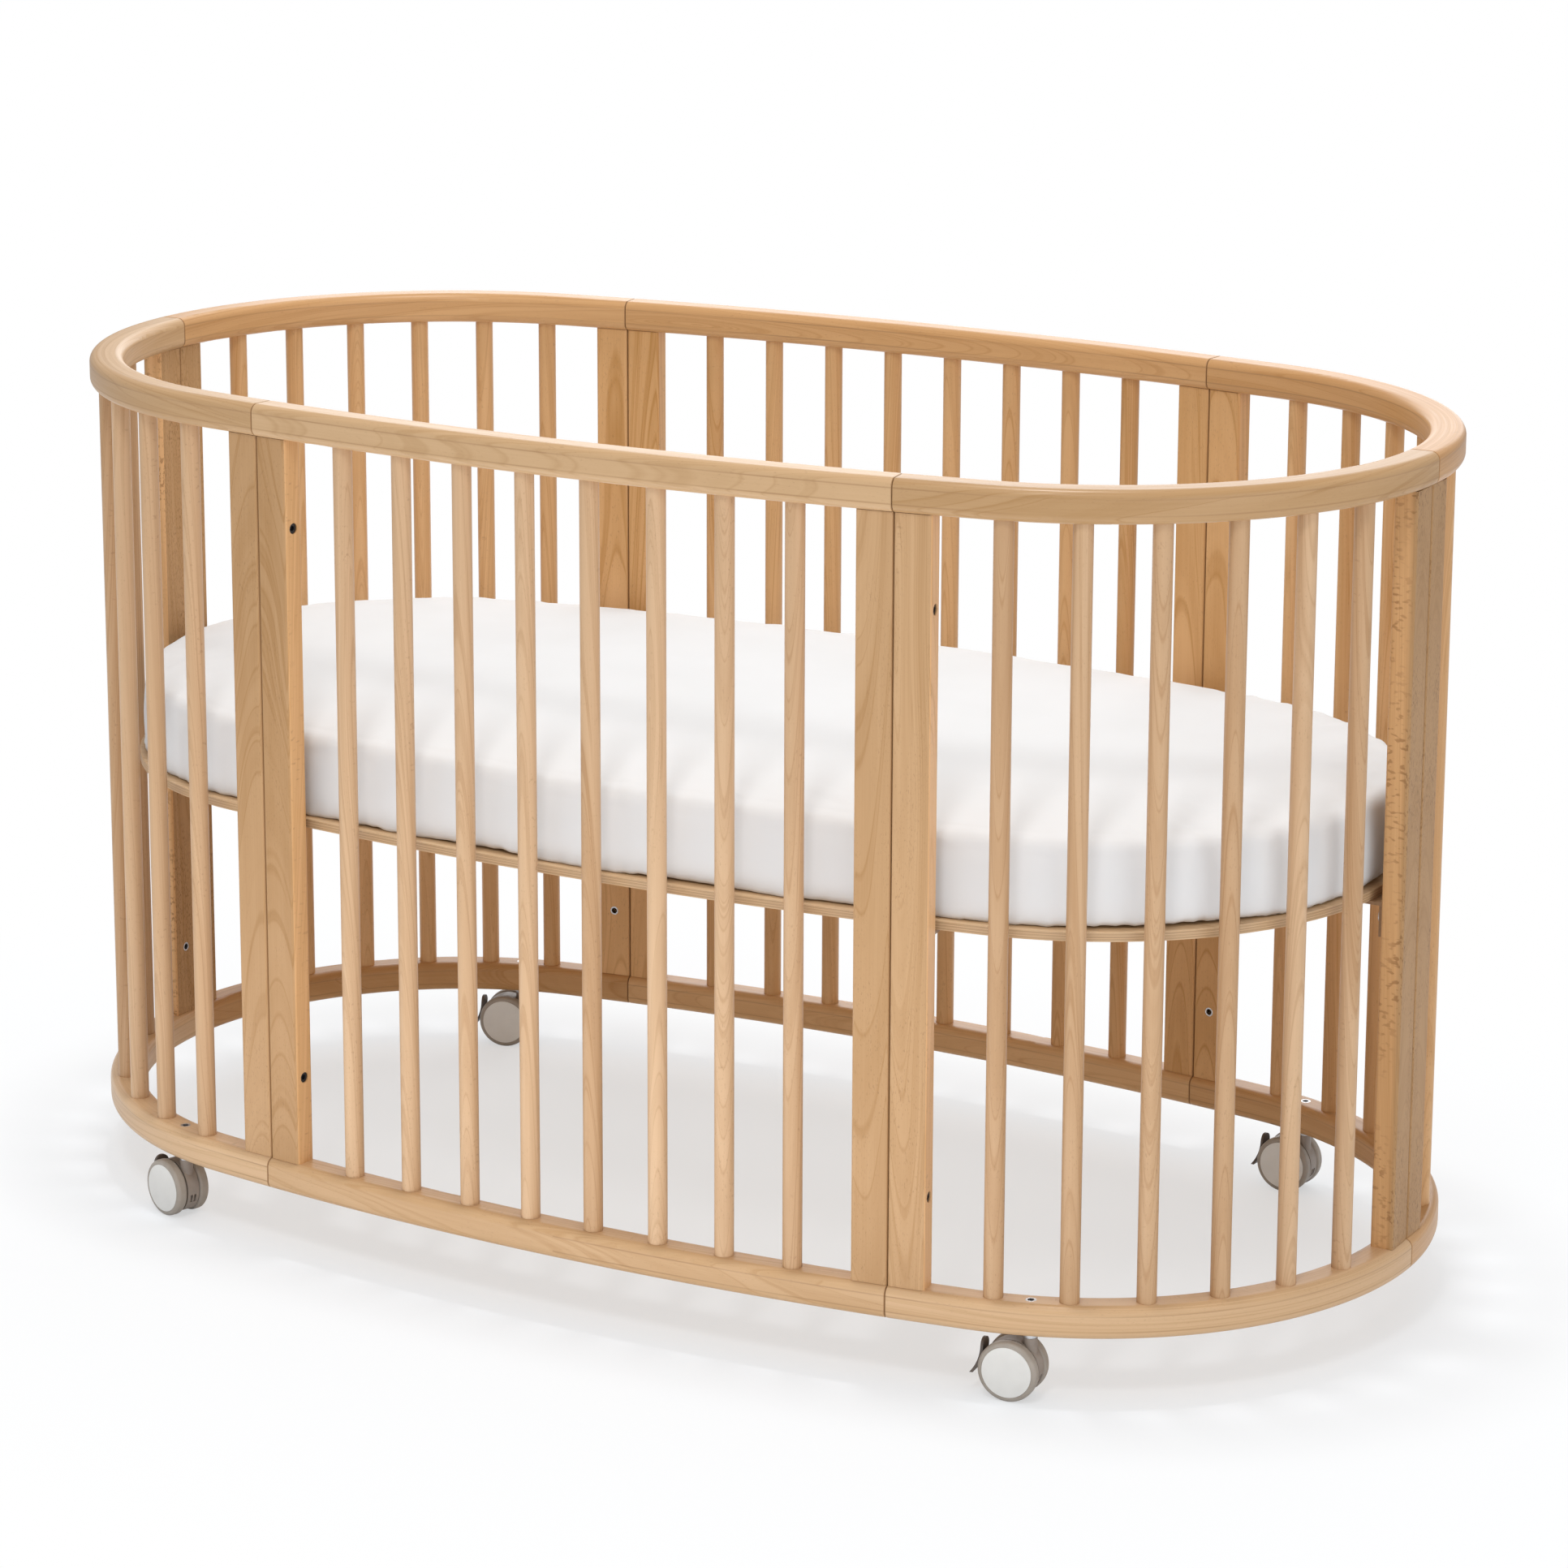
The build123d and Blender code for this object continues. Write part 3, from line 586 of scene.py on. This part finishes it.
casterFinish = {
    "body": ((0.315, 0.262, 0.222, 1.0), (0.27, 0.222, 0.186, 1.0), 0.10, 0.45),
    "tread": ((0.385, 0.335, 0.285, 1.0), (0.335, 0.288, 0.242, 1.0), 0.14, 0.45),
    "cap": ((0.80, 0.785, 0.75, 1.0), (0.77, 0.755, 0.72, 1.0), 0.06, 0.45),
    "pedal": ((0.150, 0.122, 0.103, 1.0), (0.115, 0.092, 0.078, 1.0), 0.12, 0.45),
}
bodyPlastic = mouldedMaterial("casterBodyPlastic", *casterFinish["body"])
treadRubber = mouldedMaterial("casterTread", *casterFinish["tread"])
capPlastic = mouldedMaterial("casterCap", *casterFinish["cap"])
pedalPlastic = mouldedMaterial("brakePedalPlastic", *casterFinish["pedal"])

metalLook = {
    "brushScale": 420.0,
    "brushSpan": (0.35, 0.7),
    "bump": 0.06,
    "bumpDepth": 0.0002,
    "smoother": 0.07,
    "rougher": 0.1,
}
metalFinish = {
    "zinc": ((0.70, 0.70, 0.71, 1.0), (0.58, 0.58, 0.59, 1.0), 1.0, 0.30),
    "black": ((0.030, 0.030, 0.033, 1.0), (0.018, 0.018, 0.020, 1.0), 0.35, 0.36),
    "brown": ((0.30, 0.175, 0.088, 1.0), (0.25, 0.145, 0.072, 1.0), 0.0, 0.42),
}


def metalMaterial(name, bright, dull, metallic, rough):
    material, tree, shader, place = startMaterial(name)
    brushed = noiseAt(tree, place, metalLook["brushScale"], 3.0)
    tint = mixColour(tree, ranged(tree, brushed, *metalLook["brushSpan"]), bright, dull)
    tree.links.new(tint, shader.inputs["Base Color"])
    roughness = spread(tree, brushed, rough - metalLook["smoother"], rough + metalLook["rougher"])
    tree.links.new(roughness, shader.inputs["Roughness"])
    shader.inputs["Metallic"].default_value = metallic
    addBump(tree, shader, brushed, metalLook["bump"], metalLook["bumpDepth"])
    return material


zincSteel = metalMaterial("zincSteel", *metalFinish["zinc"])
blackSteel = metalMaterial("blackSteel", *metalFinish["black"])
brownSteel = metalMaterial("brownSteel", *metalFinish["brown"])
for name in ("panel_nuts", "base_inserts", "base_fasteners", "caster_stems"):
    dress(name, zincSteel)
dress("panel_bolts", blackSteel)
dress("base_brackets", brownSteel)
for corner in ("right_front", "right_back", "left_back", "left_front"):
    dress("caster_body_" + corner, bodyPlastic)
    dress("caster_axle_" + corner, zincSteel)
    dress("brake_pedal_" + corner, pedalPlastic)
    for side in ("near", "far"):
        dress(side + "_wheel_" + corner, treadRubber)
        dress(side + "_wheel_cap_" + corner, capPlastic)
print("plywood, casters and metal dressed")

# mattress in its fitted sheet
sheet = {
    "colour": (0.82, 0.832, 0.845, 1.0),
    "shade": (0.80, 0.81, 0.82, 1.0),
    "cloudScale": 9.0,
    "cloudSpan": (0.35, 0.7),
    "thread": (0.6, 0.6, 0.6, 1.0),
    "threadMix": 0.05,
    "threadPitch": 0.0011,
    "threadRelief": 0.35,
    "slubScale": 160.0,
    "flatFacing": 0.7,
    "roughness": (0.8, 0.92),
    "specular": 0.2,
    "sheen": 0.06,
    "bump": 0.12,
    "bumpDepth": 0.0004,
    "weld": 0.00001,
    "voxel": 0.009,
    "shrink": 0.0022,  # starts smaller, swells back
    "frames": 20,
    "heldRise": 0.004,
    "cap": 0.004,
    "smoothTurns": 3,
    "smoothFactor": 0.5,
    "under": 0.4273,
    "sink": 0.0002,
    "inset": 0.025,
}
clothSettings = {
    "quality": 5,
    "mass": 0.3,
    "tension_stiffness": 18.0,
    "compression_stiffness": 18.0,
    "bending_stiffness": 0.6,
    "use_pressure": True,
    "uniform_pressure_force": 4.0,
}

# each fold fades in over a range of heights above the board and of depths from the side
folds = {
    "leastRise": 0.0005,
    "mostDepth": 0.15,
    "driftScale": 3.1,
    "driftLayer": 4.2,
    "gateScale": (7.0, 4.0),
    "gateLayer": 1.7,
    "gateSpan": (-0.25, 0.35),
    "settledX": (0.62, 0.38),
    "lying": {"push": 0.0014, "rise": (0.05, 0.088), "scale": 5.0, "layer": 0.4},
    "crisp": {"push": 0.0046, "rise": (0.062, 0.078), "depth": (0.026, 0.008)},
    "end": {"push": 0.005, "rise": (0.096, 0.066), "depth": (0.03, 0.008), "x": (0.52, 0.64)},
    "edge": {
        "push": 0.0024,
        "rise": (0.048, 0.074),
        "depth": (0.12, 0.02),
        "slant": (0.9, 0.8),
        "pitch": 0.064,
        "drift": 1.1,
        "ridgePower": 1.6,
        "ridgeBase": 0.3,
        "ridgeShare": 0.75,
        "creaseScale": (15.0, 9.0),
        "creaseLayer": 8.1,
        "creaseShare": 0.35,
        "base": 0.2,
    },
    "side": {
        "push": 0.00224,
        "rise": (0.082, 0.06),
        "depth": (0.03, 0.006),
        "scale": (17.0, 9.0),
        "layer": 3.3,
    },
    "hem": {
        "push": 0.0007,
        "rise": (0.022, 0.006),
        "depth": (0.03, 0.006),
        "pitch": 0.021,
        "drift": 2.2,
        "height": 0.6,
        "base": 0.2,
        "least": 0.4,
    },
    "hemFill": {"push": 0.0030, "rise": (0.012, 0.003), "depth": (0.02, 0.004)},
    "hemDrop": {"push": 0.0030, "rise": (0.018, 0.004), "depth": (0.02, 0.006)},
}


def sheetMaterial():
    material, tree, shader, place = startMaterial("cottonSheet")
    spot = useGroup(tree, ovalPlace, {"Vector": place})
    parts = addNode(tree, "ShaderNodeSeparateXYZ", {0: place}).outputs
    facing = tree.nodes.new("ShaderNodeNewGeometry").outputs["Normal"]
    upward = addNode(tree, "ShaderNodeSeparateXYZ", {0: facing}).outputs[2]
    flat = calc(tree, "GREATER_THAN", calc(tree, "ABSOLUTE", upward), sheet["flatFacing"])
    turnsPerMetre = 2 * math.pi / sheet["threadPitch"]

    def threads(along):
        return calc(tree, "SINE", calc(tree, "MULTIPLY", along, turnsPerMetre))

    topWeave = product(tree, threads(parts[0]), threads(parts[1]))
    sideWeave = product(tree, threads(spot["Along"]), threads(parts[2]))
    weave = mixValue(tree, flat, sideWeave, topWeave)
    slub = noiseAt(tree, place, sheet["slubScale"], 3.0)
    cloud = ranged(tree, noiseAt(tree, place, sheet["cloudScale"]), *sheet["cloudSpan"])
    white = mixColour(tree, cloud, sheet["colour"], sheet["shade"])
    white = mixColour(tree, ranged(tree, weave, -1.0, 1.0, 0.0, sheet["threadMix"]), white, sheet["thread"])
    tree.links.new(white, shader.inputs["Base Color"])
    tree.links.new(spread(tree, slub, *sheet["roughness"]), shader.inputs["Roughness"])
    shader.inputs["Specular IOR Level"].default_value = sheet["specular"]
    shader.inputs["Sheen Weight"].default_value = sheet["sheen"]
    relief = calc(tree, "MULTIPLY_ADD", weave, sheet["threadRelief"], slub)
    addBump(tree, shader, relief, sheet["bump"], sheet["bumpDepth"])
    return material


def noiseValue(x, y, z):
    return noise.noise(Vector((x, y, z)))


def zone(fold, rise, depth):
    return smoothStep(*fold["rise"], rise) * smoothStep(*fold["depth"], depth)


# the hem lies close to the board except at the right end
def hemSettled(x):
    return smoothStep(*folds["settledX"], x)


# gathers that run slantwise over the top edge
def edgeFold(ringArc, depth, drift, gate):
    edge = folds["edge"]
    slantBase, slantDrift = edge["slant"]
    slant = ringArc + depth * (slantBase + slantDrift * drift)
    wave = math.sin(2 * math.pi * (slant / edge["pitch"] + edge["drift"] * drift))
    ridge = max(0.0, wave) ** edge["ridgePower"] - edge["ridgeBase"]
    alongScale, depthScale = edge["creaseScale"]
    crease = 1 - abs(noiseValue(slant * alongScale, edge["creaseLayer"], depth * depthScale)) * 2
    gathered = edge["ridgeShare"] * ridge * gate
    creased = edge["creaseShare"] * crease * (1 - 0.5 * gate)
    return edge["push"] * (gathered + creased - edge["base"])


def sheetFold(point):
    rise = point.z - sheet["under"]
    if rise < folds["leastRise"]:
        return 0.0
    arc, depth = ovalArc(point.x, point.y)
    depth -= sheet["inset"]
    turnSign = 1.0 if point.x > 0 else -1.0
    ringArc = arc * turnSign if point.y < 0 else (2 * quarter - arc) * turnSign
    # broad unevenness of the lying surface
    lying = folds["lying"]
    uneven = noiseValue(point.x * lying["scale"], point.y * lying["scale"], lying["layer"])
    push = lying["push"] * smoothStep(*lying["rise"], rise) * uneven
    if depth > folds["mostDepth"]:
        return push
    drift = noiseValue(ringArc * folds["driftScale"], turnSign, folds["driftLayer"])
    gateAlong, gateDepth = folds["gateScale"]
    gate = noiseValue(ringArc * gateAlong, folds["gateLayer"], depth * gateDepth)
    gate = smoothStep(*folds["gateSpan"], gate)
    # the sheet is drawn tight round the top edge
    push += folds["crisp"]["push"] * zone(folds["crisp"], rise, depth)
    # the ends are filled out towards the board's rim
    end = folds["end"]
    push += end["push"] * smoothStep(*end["x"], abs(point.x)) * zone(end, rise, depth)
    toEdge = zone(folds["edge"], rise, depth)
    if toEdge > 0.0:
        push += toEdge * edgeFold(ringArc, depth, drift, gate)
    # loose sides and the gathered hem
    side = folds["side"]
    onSide = zone(side, rise, depth)
    if onSide > 0.0:
        sideAlong, sideUp = side["scale"]
        push += side["push"] * onSide * noiseValue(ringArc * sideAlong, rise * sideUp, side["layer"])
    hem = folds["hem"]
    nearHem = zone(hem, rise, depth)
    if nearHem > 0.0:
        ripple = math.sin(2 * math.pi * (ringArc / hem["pitch"] + hem["drift"] * drift))
        ripple = ripple * hem["height"] - hem["base"]
        push += hem["push"] * nearHem * ripple * (hem["least"] + gate)
        fill = folds["hemFill"]
        push += fill["push"] * hemSettled(point.x) * zone(fill, rise, depth)
    return push


# lets the hem down on the board
def hemDrop(point):
    drop = folds["hemDrop"]
    rise = point.z - sheet["under"]
    depth = ovalArc(point.x, point.y)[1] - sheet["inset"]
    return drop["push"] * hemSettled(point.x) * zone(drop, rise, depth)


# swells the sheet under pressure, held where it lies on the board
def simulateSheet(piece):
    scene = bpy.context.scene
    rest = [vertex.co.copy() for vertex in piece.data.vertices]
    heldTop = sheet["under"] + sheet["heldRise"]
    held = piece.vertex_groups.new(name="held")
    held.add([i for i, co in enumerate(rest) if co.z < heldTop], 1.0, "REPLACE")
    cloth = piece.modifiers.new("sheetCloth", "CLOTH")
    for key, value in clothSettings.items():
        setattr(cloth.settings, key, value)
    cloth.settings.effector_weights.gravity = 0.0
    cloth.settings.vertex_group_mass = "held"
    cloth.collision_settings.use_collision = False
    cloth.collision_settings.use_self_collision = False
    cloth.point_cache.frame_start = 1
    cloth.point_cache.frame_end = sheet["frames"]
    for step in range(1, sheet["frames"] + 1):
        scene.frame_set(step)
    swollen = piece.evaluated_get(bpy.context.evaluated_depsgraph_get())
    places = [vertex.co.copy() for vertex in swollen.data.vertices]
    piece.modifiers.remove(cloth)
    piece.vertex_groups.remove(held)
    scene.frame_set(1)
    for vertex, start, end in zip(piece.data.vertices, rest, places):
        move = end - start
        if move.length > sheet["cap"]:
            move *= sheet["cap"] / move.length
        vertex.co = start + move


def makeMattress():
    mesh = nodes["mattress"].data.copy()
    mesh.name = "mattressSheet"
    shell = bmesh.new()
    shell.from_mesh(mesh)
    bmesh.ops.remove_doubles(shell, verts=shell.verts, dist=sheet["weld"])
    bmesh.ops.recalc_face_normals(shell, faces=shell.faces)
    shell.to_mesh(mesh)
    shell.free()
    piece = bpy.data.objects.new("mattressSheet", mesh)
    bpy.context.scene.collection.objects.link(piece)
    remesh = piece.modifiers.new("remesh", "REMESH")
    remesh.mode = "VOXEL"
    remesh.voxel_size = sheet["voxel"]
    applied = bpy.data.meshes.new_from_object(piece.evaluated_get(bpy.context.evaluated_depsgraph_get()))
    piece.modifiers.clear()
    piece.data = applied
    for vertex in applied.vertices:
        vertex.co -= vertex.normal * sheet["shrink"]
    simulateSheet(piece)
    print("mattress swollen:", len(applied.vertices), "points")
    skin = bmesh.new()
    skin.from_mesh(piece.data)
    bmesh.ops.subdivide_edges(skin, edges=skin.edges, cuts=1, use_grid_fill=True, smooth=0.0)
    axes = {"use_axis_x": True, "use_axis_y": True, "use_axis_z": True}
    for turn in range(sheet["smoothTurns"]):
        bmesh.ops.smooth_vert(skin, verts=skin.verts, factor=sheet["smoothFactor"], **axes)
    skin.normal_update()
    moves = [(vertex, vertex.normal * sheetFold(vertex.co)) for vertex in skin.verts]
    for vertex, move in moves:
        vertex.co += move
        vertex.co.z = max(vertex.co.z - hemDrop(vertex.co), sheet["under"] - sheet["sink"])
    for face in skin.faces:
        face.smooth = True
    skin.to_mesh(piece.data)
    skin.free()
    piece.data.materials.clear()
    piece.data.materials.append(sheetMaterial())
    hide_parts("mattress")
    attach(piece, "mattress")
    return piece


mattressPiece = makeMattress()
print("mattress dressed:", len(mattressPiece.data.polygons), "faces")

# pale floor, soft studio light and the camera
studio = {
    "floor": (0.86, 0.905, 0.96, 1.0),
    "floorSize": 30.0,
    "floorRoughness": 0.9,
    "liftEdges": (0.02, 0.16, 0.60),  # distances out from the oval
    "nearLift": 0.54,
    "rimLift": 0.80,
    "farLift": 1.0,
    "white": (1.0, 1.0, 1.0, 1.0),
    "world": 0.605,
    "cameraPlace": (2.1973, -3.8563, 1.6505),
    "right": (0.8705, 0.4921, 0.0028),
    "up": (-0.1133, 0.1948, 0.9743),
    "forward": (-0.4789, 0.8484, -0.2253),
    "sensor": 36.0,
    "lens": 108.83,
    "shift": (0.0090, -0.1248),
}
lamps = {
    "frontKey": {"place": (1.1, -3.35, 4.6), "target": (0.0, 0.0, 0.3), "size": 1.0, "power": 54.0},
    "topKey": {"place": (0.0, -0.1, 4.6), "target": (0.0, 0.0, 0.3), "size": 0.5, "power": 60.0},
    "softFill": {"place": (3.6, -1.9, 1.0), "target": (0.0, 0.0, 0.35), "size": 2.8, "power": 26.0},
    # lies on the floor in front of the crib and faces straight up
    "lowBounce": {
        "place": (-0.12, -0.78, 0.015),
        "target": (-0.12, -0.78, 1.0),
        "size": 2.4,
        "sizeY": 0.6,
        "power": 5.0,
    },
    "softBack": {"place": (-1.0, 2.8, 1.6), "target": (0.0, 0.0, 0.85), "size": 3.0, "power": 38.0},
}


def makeFloor():
    shape = bmesh.new()
    bmesh.ops.create_grid(shape, x_segments=1, y_segments=1, size=studio["floorSize"])
    mesh = bpy.data.meshes.new("studioFloor")
    shape.to_mesh(mesh)
    shape.free()
    floor = bpy.data.objects.new("studioFloor", mesh)
    bpy.context.scene.collection.objects.link(floor)
    material, tree, shader, place = startMaterial("studioFloor")
    shader.inputs["Base Color"].default_value = studio["floor"]
    shader.inputs["Roughness"].default_value = studio["floorRoughness"]
    shader.inputs["Specular IOR Level"].default_value = 0.0
    glow = addNode(tree, "ShaderNodeEmission", {"Color": studio["white"], "Strength": 1.0})
    path = tree.nodes.new("ShaderNodeLightPath").outputs
    away = useGroup(tree, ovalPlace, {"Vector": place})["Across"]
    nearEdge, rimEdge, farEdge = studio["liftEdges"]
    lift = ranged(tree, away, nearEdge, rimEdge, studio["nearLift"], studio["rimLift"])
    farther = ranged(tree, away, rimEdge, farEdge, 0.0, studio["farLift"] - studio["rimLift"])
    lift = calc(tree, "MULTIPLY", path["Is Camera Ray"], calc(tree, "ADD", lift, farther))
    blend = addNode(tree, "ShaderNodeMixShader", {0: lift, 1: shader.outputs[0], 2: glow.outputs[0]})
    tree.links.new(blend.outputs[0], tree.nodes["Material Output"].inputs["Surface"])
    mesh.materials.append(material)


def makeWorld():
    world = bpy.data.worlds.new("studioWorld")
    world.use_nodes = True
    tree = world.node_tree
    ground = tree.nodes["Background"]
    ground.inputs["Color"].default_value = studio["white"]
    path = tree.nodes.new("ShaderNodeLightPath").outputs
    strength = ranged(tree, path["Is Camera Ray"], 0.0, 1.0, studio["world"], 1.0)
    tree.links.new(strength, ground.inputs["Strength"])
    bpy.context.scene.world = world


def areaLight(name, place, target, size, power, sizeY=None):
    lamp = bpy.data.lights.new(name, "AREA")
    lamp.shape = "DISK" if sizeY is None else "ELLIPSE"
    lamp.size = size
    lamp.size_y = sizeY or size
    lamp.energy = power
    holder = bpy.data.objects.new(name, lamp)
    holder.location = place
    holder.rotation_euler = (Vector(target) - Vector(place)).to_track_quat("-Z", "Y").to_euler()
    bpy.context.scene.collection.objects.link(holder)


def makeCamera():
    data = bpy.data.cameras.new("photoCamera")
    data.sensor_width = studio["sensor"]
    data.lens = studio["lens"]
    data.shift_x, data.shift_y = studio["shift"]
    camera = bpy.data.objects.new("photoCamera", data)
    axes = Matrix((studio["right"], studio["up"], [-value for value in studio["forward"]])).transposed()
    camera.matrix_world = Matrix.Translation(studio["cameraPlace"]) @ axes.to_4x4()
    bpy.context.scene.collection.objects.link(camera)
    bpy.context.scene.camera = camera


makeFloor()
makeWorld()
for name, lamp in lamps.items():
    areaLight(name, **lamp)
makeCamera()
bpy.context.scene.view_settings.view_transform = "Standard"
print("studio ready")
